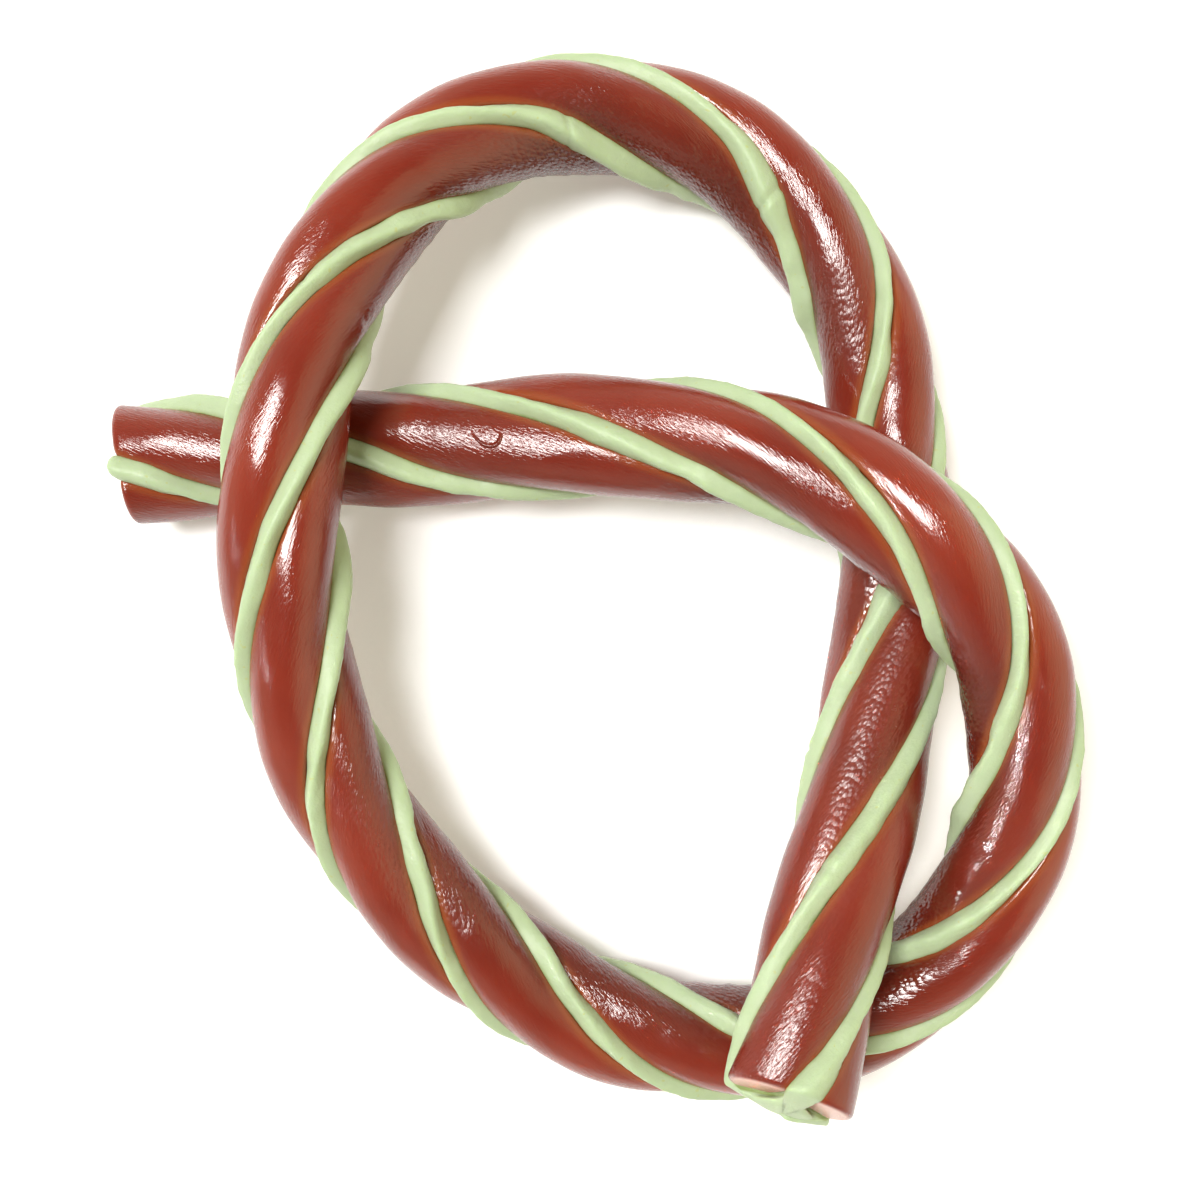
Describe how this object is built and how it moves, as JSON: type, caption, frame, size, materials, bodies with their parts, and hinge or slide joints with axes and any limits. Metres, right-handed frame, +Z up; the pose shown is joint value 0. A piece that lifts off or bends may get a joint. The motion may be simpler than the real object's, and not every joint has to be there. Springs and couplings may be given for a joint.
{
  "type": "twisted gummy rope",
  "caption": "Thick filled gummy rope of twisted red jelly strands with pale green filling between them, tied in a loose overhand knot and laid flat.",
  "frame": {"origin": "on the table under the middle of the knot's outline", "axes": "+X towards the raised end's side of the knot, away from the low end; +Y along the knot's longest way, away from the raised end; +Z up from the table"},
  "size_m": [0.1477, 0.164, 0.038],
  "materials": {
    "jelly_red": "glossy translucent red jelly, pebbled on the inner sides of the bends",
    "filling_green": "satin pale green filling, lumpy and slightly specked"
  },
  "bodies": {
    "root": {"red_strand_1": "jelly_red", "red_strand_2": "jelly_red", "red_strand_3": "jelly_red", "green_filling": "filling_green"}
  },
  "joints": []
}
